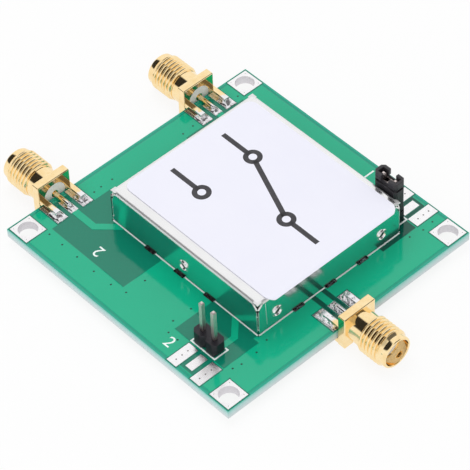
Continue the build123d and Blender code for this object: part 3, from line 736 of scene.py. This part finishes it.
bm = bmesh.new()
gap, seeds = feet["wallGap"], feet["seeds"]
for index, x in enumerate(feet["x"]):
    addFoot(bm, x, lidLow.y + gap, (0, -1), feet["frontStep"] * index)
    addFoot(bm, x, lidHigh.y - gap, (0, 1), seeds["back"] + index)
for index, y in enumerate(feet["y"]):
    addFoot(bm, lidLow.x + gap, y, (-1, 0), seeds["left"] + index)
    addFoot(bm, lidHigh.x - gap, y, (1, 0), seeds["right"] + index)
bmesh.ops.recalc_face_normals(bm, faces=bm.faces)
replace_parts(newPiece("fenceFootSolder", bm, "paintedShadeAndGlints", "board", 60), "fence_solder")

# Softened copies of CAD solids: flat faces are joined again and their corners rounded
soft = {"flatAngle": 2, "cornerAngle": 0.5, "sharp": 30, "lid": 0.05, "base": 0.05, "cap": 0.07}


def softCopy(nodeName, pieceName, finish, body, rounding, spared=None):
    bm = bmesh.new()
    bm.from_mesh(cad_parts[nodeName].data)
    bmesh.ops.scale(bm, vec=(1 / mm, 1 / mm, 1 / mm), verts=bm.verts)
    bmesh.ops.remove_doubles(bm, verts=bm.verts, dist=weld)
    bmesh.ops.dissolve_limit(bm, angle_limit=math.radians(soft["flatAngle"]), verts=bm.verts,
                             edges=bm.edges)
    corners = [edge for edge in bm.edges if len(edge.link_faces) == 2
               and edge.calc_face_angle(0) > soft["cornerAngle"] and not (spared and spared(edge))]
    roundEdges(bm, corners, rounding)
    bmesh.ops.remove_doubles(bm, verts=bm.verts, dist=weld)
    piece = newPiece(pieceName, bm, finish, body, soft["sharp"], True)
    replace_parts(piece, nodeName)


# Each dimple is pressed in at a slant: a lip, thrown up on one side, round a shallow dish
dimple = {
    "height": 2.6, "fromEnd": 3.95, "spared": 1.2, "steps": 40,
    "lip": [(1.08, -0.02), (1.04, 0.0), (0.99, 0.06), (0.94, 0.10), (0.89, 0.11), (0.84, 0.08),
            (0.78, 0.0), (0.71, -0.10), (0.65, -0.16), (0.66, -0.25), (0.84, -0.16), (1.0, -0.08),
            (1.08, -0.08), (1.08, -0.02)],  # radius, height above the wall
    "floor": [(0.0, -0.23), (0.20, -0.23), (0.38, -0.22), (0.55, -0.20), (0.65, -0.16),
              (0.65, -0.25), (0.0, -0.26)],
    "throw": 0.24, "throwRadius": 0.86, "outerRadius": 1.04, "outerFade": 0.18,
    "innerRadius": 0.6, "innerFade": 0.22,
}
height = boardTop + dimple["height"]
middleX = (lidLow.x + lidHigh.x) / 2
dimplePlaces = []
for x, side in ((lidHigh.x, 1), (lidLow.x, -1)):
    for y in (lidLow.y + dimple["fromEnd"], lidHigh.y - dimple["fromEnd"]):
        dimplePlaces.append((Vector((x, y, height)), Vector((side, 0, 0))))
for y, side in ((lidLow.y, -1), (lidHigh.y, 1)):
    dimplePlaces.append((Vector((middleX, y, height)), Vector((0, side, 0))))


def onDimple(edge):
    middle = middleOf(edge)
    return any((middle - place).length < dimple["spared"] for place, outward in dimplePlaces)


def throwLip(bm, outward):
    raised = (upward - Vector((outward.y, outward.x, 0))).normalized()
    for vert in bm.verts:
        flat = vert.co - outward * vert.co.dot(outward)
        share = limited((dimple["outerRadius"] - flat.length) / dimple["outerFade"])
        share *= limited((flat.length - dimple["innerRadius"]) / dimple["innerFade"])
        lean = max(0.0, flat.dot(raised) / dimple["throwRadius"])
        vert.co += outward * dimple["throw"] * share * lean


def makeDimples(pieceName, profile, finish):
    bm = bmesh.new()
    for place, outward in dimplePlaces:
        dish = spun(profile, dimple["steps"])
        turnTo(dish, outward)
        throwLip(dish, outward)
        joinInto(bm, dish, place)
    newPiece(pieceName, bm, finish, "lid", 60)


softCopy("shield_lid", "shieldLid", "lidTin", "lid", soft["lid"], onDimple)
makeDimples("lidDimples", dimple["lip"], "tinplate")
# the dimple floors carry painted shade
makeDimples("lidDimpleFloors", dimple["floor"], "shadedTin")

# Bright cut edges at the lid's corners, specks on them, a crease on the input wall, and a dark
# strip at one corner painted as the shade of its slit
corner = {
    "cutEdges": [  # distance from the corner and height at both ends, radius, depth in the wall
        ((1.0, 6.4), (0.2, 5.42), 0.16, 0.10),
        ((0.22, 5.2), (0.22, 0.7), 0.06, 0.02),
    ],
    "specks": [  # x, y, height, radius
        (17.44, -12.07, 4.2, 0.13), (17.60, -11.98, 1.3, 0.16),
        (-14.79, -12.07, 3.1, 0.12), (-14.80, -12.07, 1.2, 0.14),
    ],
    "speckLumps": 0.5, "speckWaves": 9,
    "crease": {"ends": [(-10.27, 1.2), (-10.52, 6.2)], "radius": 0.06},  # y and height
    # the solder entry places a dark strip painted as the shade of the corner slit
    "solder": {"inset": (0.07, 0.05), "heights": (0.5, 5.9), "radius": 0.15},
    "tip": 0.12, "tipShape": (0.7, 0.3), "steps": 12,
}


def addBurr(bm, start, end, radius):  # thin rounded ridge between two points
    run = end - start
    tip = run.length * corner["tip"]
    inward, along = corner["tipShape"]
    ridge = spun([(0.0, 0.0), (radius * inward, tip * along), (radius, tip),
                  (radius, run.length - tip), (radius * inward, run.length - tip * along),
                  (0.0, run.length)], corner["steps"])
    turnTo(ridge, run)
    joinInto(bm, ridge, start)


bm = bmesh.new()
for cornerX, inX in ((lidLow.x, 1), (lidHigh.x, -1)):
    for cornerY, inY in ((lidLow.y, 1), (lidHigh.y, -1)):
        for *ends, radius, sink in corner["cutEdges"]:
            x, y = cornerX + inX * sink, cornerY + inY * sink
            addBurr(bm, *[Vector((cornerX + inX * d, y, boardTop + z)) for d, z in ends], radius)
            addBurr(bm, *[Vector((x, cornerY + inY * d, boardTop + z)) for d, z in ends], radius)
for x, y, z, radius in corner["specks"]:
    speck = bmesh.ops.create_icosphere(bm, subdivisions=2, radius=radius)["verts"]
    for vert in speck:
        waves = vert.co * corner["speckWaves"] + Vector((x, y, z))
        vert.co *= 1 + corner["speckLumps"] * noise.noise(waves)
    bmesh.ops.translate(bm, vec=(x, y, boardTop + z), verts=speck)
crease = corner["crease"]
addBurr(bm, *[Vector((lidHigh.x, y, boardTop + z)) for y, z in crease["ends"]], crease["radius"])
newPiece("lidCutEdges", bm, "cutTin", "lid", 60)

# painted shade: a dark strip in the left front corner stands for the shade of its slit
bm = bmesh.new()
insetX, insetY = corner["solder"]["inset"]
ends = [Vector((lidLow.x + insetX, lidLow.y + insetY, boardTop + z))
        for z in corner["solder"]["heights"]]
addBurr(bm, *ends, corner["solder"]["radius"])
newPiece("lidCornerSlitShade", bm, "paintedShadeAndGlints", "lid", 60)
print("can dressed")

# Headers and jumper: softened copies of the CAD solids, and drawn-up solder under the board
header = {
    "x": 13.87, "spots": {"control1": 18.85, "control2": -18.44},  # the same x, each with its y
    "halfPitch": 1.27, "pinHole": 0.55,
    "padRadius": 0.82, "cone": [(1.0, 0.0), (0.97, -0.06), (0.74, -0.2), (0.62, -0.4)],
    "tip": 0.48, "rise": 0.66, "tipShape": (0.8, 0.03), "under": -0.05, "steps": 28,
}


def onPinHole(edge):
    middle, reach = middleOf(edge), header["pinHole"]
    if abs(abs(middle.x - header["x"]) - header["halfPitch"]) >= reach:
        return False
    return any(abs(middle.y - y) < reach for y in header["spots"].values())


def solderCone():  # the cone's radii are shares of the pad's
    wide, tip, rise = header["padRadius"], header["tip"], header["rise"]
    inward, drop = header["tipShape"]
    points = [(0.0, 0.0)] + [(wide * share, height) for share, height in header["cone"]]
    points += [(tip, -rise), (tip * inward, -rise - drop), (0.0, -rise - drop)]
    return spun(points, header["steps"])


for name in header["spots"]:
    softCopy(name + "_header_base", name + "HeaderBase", "headerNylon", "board",
             soft["base"], onPinHole)
softCopy("jumper_housing", "jumperHousing", "capNylon", "jumper", soft["cap"])
for name, y in header["spots"].items():
    bm = bmesh.new()
    for x in (header["x"] - header["halfPitch"], header["x"] + header["halfPitch"]):
        joinInto(bm, solderCone(), (x, y, header["under"]))
    piece = newPiece(name + "HeaderSolder", bm, "brightSolder", "board", 50)
    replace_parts(piece, name + "_header_solder")
print("headers and jumper softened")

# Printed lines: one round the can, broken at the feet, and a box round each header
silk = {
    "low": 1.595, "high": 1.618, "overCopper": 0.012, "line": 0.23, "headerLine": 0.26,
    "canBox": (-15.02, -12.08, 17.63, 17.45), "footGap": 1.28,
    "headerBoxes": [(11.33, -19.75, 16.42, -17.13), (11.33, 17.54, 16.42, 20.15)],
}


def brokenLine(bm, fixed, low, high, gaps, alongX):
    cuts = [low, high]
    for gap in gaps:
        cuts += [gap - silk["footGap"], gap + silk["footGap"]]
    cuts.sort()
    for a, b in zip(cuts[::2], cuts[1::2]):
        ends = ((a, fixed), (b, fixed)) if alongX else ((fixed, a), (fixed, b))
        addStroke(bm, *ends, silk["line"], silk["low"], copperTop + silk["overCopper"])


bm = bmesh.new()
x0, y0, x1, y1 = silk["canBox"]
for y in (y0, y1):
    brokenLine(bm, y, x0, x1, feet["x"], True)
for x in (x0, x1):
    brokenLine(bm, x, y0, y1, feet["y"], False)
half = silk["headerLine"] / 2
for box in silk["headerBoxes"]:
    addFrame(bm, *box, half, half, silk["low"], silk["high"])
bmesh.ops.recalc_face_normals(bm, faces=bm.faces)
newPiece("boardPrintLines", bm, "whiteInk", "board")

# Dark borders round the pads
pads = {
    "low": 1.59, "high": 1.612, "border": 0.18, "lap": 0.05,
    "corner": (22.7, 2.0),  # distance from the middle lines, half size
    "ground": (22.525, 2.55, 2.225, 1.025),  # along from the middle, across, half length and width
    "signal": (22.05, 0.0, 1.55, 0.725),
    "places": [(1, 0, 0.0), (-1, 0, 15.1), (-1, 0, -15.1), (0, 1, 15.0), (0, -1, 15.0)],
}


def addBorder(bm, x, y, halfX, halfY):
    box = (x - halfX, y - halfY, x + halfX, y + halfY)
    addFrame(bm, *box, pads["border"], pads["lap"], pads["low"], pads["high"])


bm = bmesh.new()
middle, half = pads["corner"]
for sideX, sideY in quarters:
    addBorder(bm, sideX * middle, sideY * middle, half, half)
groundAlong, groundAcross, *groundHalves = pads["ground"]
boxes = [pads["ground"], (groundAlong, -groundAcross, *groundHalves), pads["signal"]]
for outX, outY, offset in pads["places"]:
    for along, across, halfLength, halfWidth in boxes:
        if outX:
            addBorder(bm, outX * along, offset + across, halfLength, halfWidth)
        else:
            addBorder(bm, offset + across, outY * along, halfWidth, halfLength)
bmesh.ops.recalc_face_normals(bm, faces=bm.faces)
newPiece("padBorders", bm, "darkMoatMask", "board")

# Vias: dark dots painted as the shade in the via holes, on the mask, on the spare jacks' pads and
# on the corner pads
vias = {
    "segments": 14, "taper": 0.9,
    "mask": (0.17, 1.59, 1.606),  # radius, from height, to height
    "spare": (0.14, 1.63, 1.656),
    "corner": (0.07, 1.63, 1.655),
    "spareMiddle": 15.0, "spareAcross": (-2.55, 2.55), "spareAlong": (21.45, 22.6, 23.75),
    "cornerOffset": 1.55,
    "dots": [
        (-19.6, -21.0), (-16.6, -21.0), (-13.1, -21.0), (-9.1, -21.1), (-5.3, -21.0), (-2.5, -20.4),
        (-2.3, -16.8), (6.6, -19.1), (7.8, -21.1), (9.8, -21.1), (6.7, -15.6), (19.7, -14.4),
        (19.8, -17.5), (19.5, -19.0), (20.6, -20.6), (19.0, -11.7), (19.3, 17.9), (19.7, 20.4),
        (19.5, 22.6), (-21.6, -6.5), (-21.6, -8.8), (-21.5, -10.3), (-21.4, 10.3), (-21.2, 8.0),
        (-21.3, 19.9), (-17.2, 0.5), (-17.0, 5.6), (-19.5, 21.2), (-16.4, 21.0), (-12.8, 21.1),
        (-8.6, 21.0), (-4.2, 21.1), (0.4, 21.0), (4.8, 21.1),
    ],
}


def addDot(bm, x, y, radius, low, high):
    made = bmesh.ops.create_cone(bm, cap_ends=True, segments=vias["segments"], radius1=radius,
                                 radius2=radius * vias["taper"], depth=high - low)
    bmesh.ops.translate(bm, vec=(x, y, (low + high) / 2), verts=made["verts"])


bm = bmesh.new()
for x, y in vias["dots"]:
    addDot(bm, x, y, *vias["mask"])
newPiece("boardVias", bm, "viaHoleShade", "board")

bm = bmesh.new()
for outY in (-1, 1):
    for across in vias["spareAcross"]:
        for along in vias["spareAlong"]:
            addDot(bm, vias["spareMiddle"] + across, outY * along, *vias["spare"])
offset = vias["cornerOffset"]
for sideX, sideY in quarters:
    for outX, outY in quarters:
        x, y = sideX * middle + outX * offset, sideY * middle + outY * offset
        addDot(bm, x, y, *vias["corner"])
newPiece("padVias", bm, "padViaHoleShade", "board")
print("board printed")

# Plain marks: port numbers on the board and a switch symbol on the label
numbers = {
    "size": 2.898,
    "places": [  # number, x, y, turn
        ("2", -11.6, -17.9, 180), ("1", -17.6, 19.2, 180),
        ("2", 9.3, -22.3, 0), ("1", 5.6, 22.9, 180),
    ],
}


def addNumber(bm, text, x, y, turn):
    curve = bpy.data.curves.new("number", "FONT")
    curve.body = text
    curve.size = numbers["size"]
    curve.extrude = (silk["high"] - silk["low"]) / 2
    curve.align_x = "CENTER"
    curve.align_y = "CENTER"
    holder = bpy.data.objects.new("number", curve)
    scene.collection.objects.link(holder)
    flat = bpy.data.meshes.new_from_object(holder)
    bpy.data.objects.remove(holder)
    place = Matrix.Translation((x, y, (silk["low"] + silk["high"]) / 2))
    flat.transform(place @ Matrix.Rotation(math.radians(turn), 4, "Z"))
    bm.from_mesh(flat)
    bpy.data.meshes.remove(flat)


bm = bmesh.new()
for text, x, y, turn in numbers["places"]:
    addNumber(bm, text, x, y, turn)
bmesh.ops.remove_doubles(bm, verts=bm.verts, dist=weld)
newPiece("portNumbers", bm, "whiteInk", "board")

symbol = {
    "line": 0.85, "ring": 1.1, "ringSteps": 40, "lead": 5.2, "leverGap": 0.2,
    "common": (8.2, 2.73), "throws": [(-4.8, 8.0), (-4.8, -2.6)],
    "sink": 0.004, "rise": 0.008,
}
labelTop = boxOf("lid_label")[1].z
low, high = labelTop - symbol["sink"], labelTop + symbol["rise"]
line, reach, lead = symbol["line"], symbol["ring"], symbol["lead"]
bm = bmesh.new()
commonX, commonY = symbol["common"]
addStroke(bm, (commonX + reach, commonY), (commonX + reach + lead, commonY), line, low, high)
for x, y in symbol["throws"]:
    addStroke(bm, (x - reach, y), (x - reach - lead, y), line, low, high)
common, thrown = Vector(symbol["common"]), Vector(symbol["throws"][0])
lever = (thrown - common).normalized()
leverEnd = thrown - lever * (reach + symbol["leverGap"])
addStroke(bm, common + lever * reach, leverEnd, line, low, high)
inner, outer = reach - line / 2, reach + line / 2
for x, y in [symbol["common"], *symbol["throws"]]:
    ring = spun([(inner, low), (outer, low), (outer, high), (inner, high), (inner, low)],
                symbol["ringSteps"])
    joinInto(bm, ring, (x, y, 0))
newPiece("labelSwitchSymbol", bm, "labelInk", "lid")
print("marks printed")

# Floor, light and camera
studio = {
    "floor": -1.1, "floorSize": 3.0, "paper": (0.9, 0.9, 0.9, 1), "paperRough": 0.9,
    "ambient": 0.72, "shadowShare": 0.14, "white": (1, 1, 1, 1),
    "flags": [  # dark cards that bright metal mirrors: direction, tone, cosines of the soft edge
        ((-0.509, -0.4415, 0.739), 0.03, 0.84, 0.89),
        ((0.509, 0.4415, 0.739), 0.15, 0.84, 0.89),
        ((0.509, -0.4415, 0.739), 0.60, 0.90, 0.965),
    ],
    "key": {"place": (-0.30, 0.10, 0.95), "size": 0.6, "power": 2.5},
    "fill": {"place": (0.46, -0.72, 0.52), "size": 0.8, "power": 2.6},
    "azimuth": 49.071, "elevation": 47.644, "roll": -2.568, "distance": 425.2,
    "aim": (0.385, -0.815, 1.6), "lens": 213.55, "sensor": 36, "clipStart": 0.01,
}


def seenRays(tree):  # 1 for what the camera or a mirror sees, 0 for light on matt faces
    path = addNode(tree, "LightPath").outputs
    mirror = calc(tree, "MAXIMUM", path["Is Glossy Ray"], path["Is Transmission Ray"])
    return calc(tree, "MAXIMUM", path["Is Camera Ray"], mirror)


bm = bmesh.new()
bmesh.ops.create_grid(bm, x_segments=1, y_segments=1, size=studio["floorSize"] / 2)
bmesh.ops.translate(bm, vec=(0, 0, studio["floor"] * mm), verts=bm.verts)
floorMesh = bpy.data.meshes.new("studioFloor")
bm.to_mesh(floorMesh)
bm.free()
floor = bpy.data.objects.new("studioFloor", floorMesh)
scene.collection.objects.link(floor)

floorFinish, tree, shader = startFinish("palePaper")
feedAll(tree, shader, {"Base Color": studio["paper"], "Roughness": studio["paperRough"],
                       "Specular IOR Level": 0.0})
white = addNode(tree, "Emission", {"Color": studio["white"], "Strength": 1.0}).outputs[0]
share = calc(tree, "MULTIPLY", seenRays(tree), 1 - studio["shadowShare"])
blend = addNode(tree, "MixShader", {0: share, 1: shader.outputs[0], 2: white}).outputs[0]
feed(tree, tree.nodes["Material Output"].inputs["Surface"], blend)
floorMesh.materials.append(floorFinish)

world = bpy.data.worlds.new("studio")
scene.world = world
world.use_nodes = True
tree = world.node_tree
seen = seenRays(tree)
sky = addNode(tree, "TexCoord").outputs["Generated"]
mirrored = 1.0
for direction, tone, outer, inner in studio["flags"]:
    toward = addNode(tree, "VectorMath", {0: sky, 1: direction}, operation="DOT_PRODUCT")
    card = remap(tree, toward.outputs["Value"], (outer, inner), 1.0, tone)
    mirrored = calc(tree, "MULTIPLY", mirrored, card)
unseen = calc(tree, "MULTIPLY", calc(tree, "SUBTRACT", 1.0, seen), studio["ambient"])
level = calc(tree, "ADD", calc(tree, "MULTIPLY", seen, mirrored), unseen)
feedAll(tree, tree.nodes["Background"], {"Color": studio["white"], "Strength": level})

for name in ("key", "fill"):
    lamp = bpy.data.lights.new(name, "AREA")
    lamp.size = studio[name]["size"]
    lamp.energy = studio[name]["power"]
    holder = bpy.data.objects.new(name, lamp)
    scene.collection.objects.link(holder)
    holder.visible_glossy = False  # metal mirrors the world instead
    place = Vector(studio[name]["place"])
    holder.location = place
    holder.rotation_euler = (-place).to_track_quat("-Z", "Y").to_euler()

azimuth, elevation, roll = (math.radians(studio[key]) for key in ("azimuth", "elevation", "roll"))
reach = math.cos(elevation)
away = Vector((math.sin(azimuth) * reach, -math.cos(azimuth) * reach, math.sin(elevation)))
right = Vector((math.cos(azimuth), math.sin(azimuth), 0))
up = away.cross(right)
turnedRight = right * math.cos(roll) + up * math.sin(roll)
turnedUp = up * math.cos(roll) - right * math.sin(roll)
camera = bpy.data.objects.new("camera", bpy.data.cameras.new("camera"))
scene.collection.objects.link(camera)
camera.data.lens = studio["lens"]
camera.data.sensor_width = studio["sensor"]
camera.data.clip_start = studio["clipStart"]
pose = Matrix((turnedRight, turnedUp, away)).transposed().to_4x4()
pose.translation = (Vector(studio["aim"]) + away * studio["distance"]) * mm
camera.matrix_world = pose
scene.camera = camera
scene.view_settings.view_transform = "Standard"
print("studio set")
